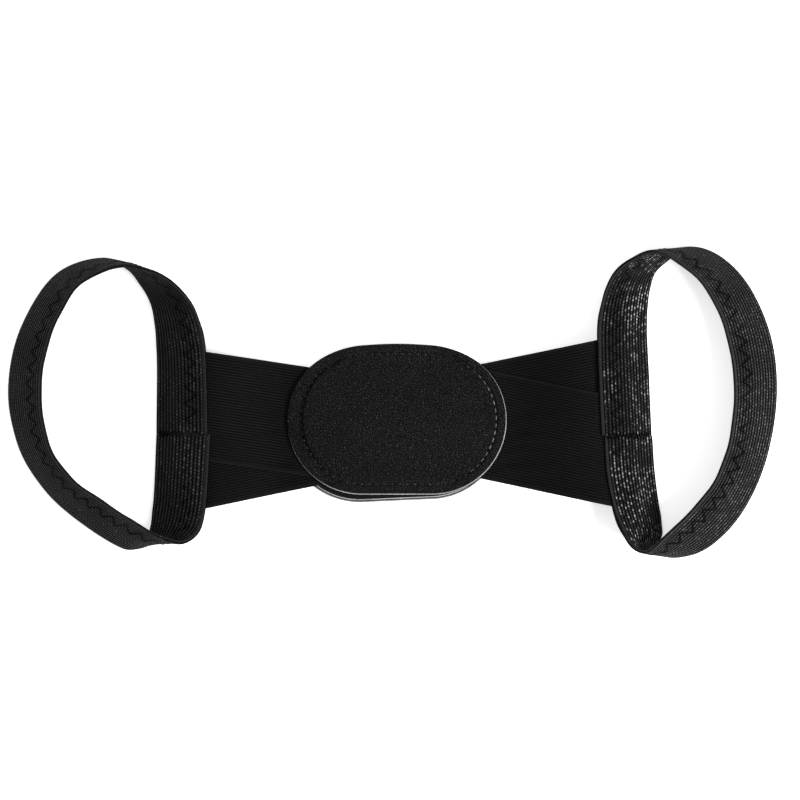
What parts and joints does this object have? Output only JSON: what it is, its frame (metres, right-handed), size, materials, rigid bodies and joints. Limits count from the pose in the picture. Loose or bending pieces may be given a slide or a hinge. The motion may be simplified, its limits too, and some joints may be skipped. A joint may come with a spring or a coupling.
{
  "type": "posture corrector",
  "caption": "Elastic posture corrector lying flat: arm loops of folded strap joined by wide elastic bands to a padded oval back piece.",
  "frame": {"origin": "middle of the overall length and height of the corrector, on the surface it lies on", "axes": "+X from the left arm loop to the right one, +Y up the wearer's back, +Z out of the front of the pad"},
  "size_m": [0.5604, 0.2276, 0.0361],
  "materials": {
    "pad_front": "fine grain, soft sheen",
    "pad_back": "fine grain, matt",
    "band_elastic": "fine lengthwise ribs, matt",
    "strap_elastic": "lengthwise ribs, slight sheen on the threads"
  },
  "bodies": {
    "root": {"pad_front": "pad_front", "pad_back": "pad_back", "band_left_upper": "band_elastic", "band_left_lower": "band_elastic", "band_right_upper": "band_elastic", "band_right_lower": "band_elastic", "loop_left": "strap_elastic", "loop_right": "strap_elastic"}
  },
  "joints": []
}
